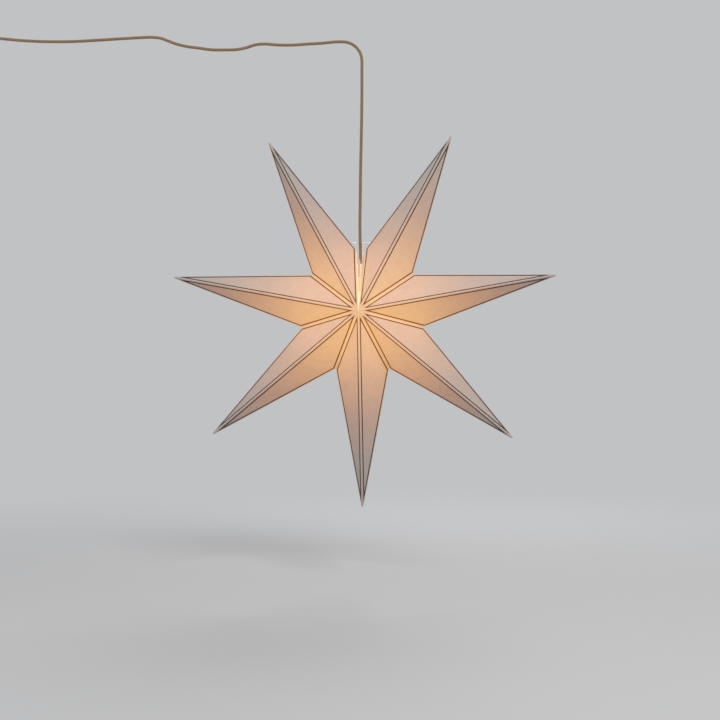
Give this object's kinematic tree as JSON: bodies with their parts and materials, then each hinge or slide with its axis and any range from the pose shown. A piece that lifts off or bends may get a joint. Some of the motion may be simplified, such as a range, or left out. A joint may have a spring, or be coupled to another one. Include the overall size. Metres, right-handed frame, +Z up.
{
  "type": "paper star lamp",
  "caption": "Folded paper star with seven hollow points, lit from inside by a small bulb and hung by its textile lead.",
  "frame": {"origin": "underside of the lead's bend, where it rests on a hook above the star", "axes": "+Z up, -Y towards the front of the star, +X to the right seen from the front"},
  "size_m": [1.2416, 0.172, 0.982],
  "materials": {
    "star_paper": "matt, warm where the light shines through",
    "brown_print": "matt dark brown ink",
    "white_wire": "satin lacquer",
    "ivory_plastic": "satin moulded",
    "grey_insulator": "matt",
    "contact_brass": "plain",
    "bulb_metal": "plain",
    "bulb_opal": "opal, lit warm white",
    "tan_textile": "braided textile",
    "tie_fabric": "woven",
    "pin_metal": "bright nickel"
  },
  "bodies": {
    "root": {"point_top_right": "star_paper", "point_right": "star_paper", "point_lower_right": "star_paper", "point_bottom": "star_paper", "point_lower_left": "star_paper", "point_left": "star_paper", "point_top_left": "star_paper", "lines_top_right": "brown_print", "lines_right": "brown_print", "lines_lower_right": "brown_print", "lines_bottom": "brown_print", "lines_lower_left": "brown_print", "lines_left": "brown_print", "lines_top_left": "brown_print", "wire_hanger": "white_wire", "lead_grip": "ivory_plastic", "holder_cap": "ivory_plastic", "holder_shell": "ivory_plastic", "contact_block": "grey_insulator", "screw_shell": "contact_brass", "centre_contact": "contact_brass", "bulb_cap": "bulb_metal", "bulb_globe": "bulb_opal", "cord": "tan_textile", "cord_coil": "tan_textile", "cord_tail": "tan_textile", "coil_tie_top": "tie_fabric", "coil_tie_side": "tie_fabric", "plug_relief": "ivory_plastic", "plug_body": "ivory_plastic", "plug_pins": "pin_metal"}
  },
  "joints": []
}
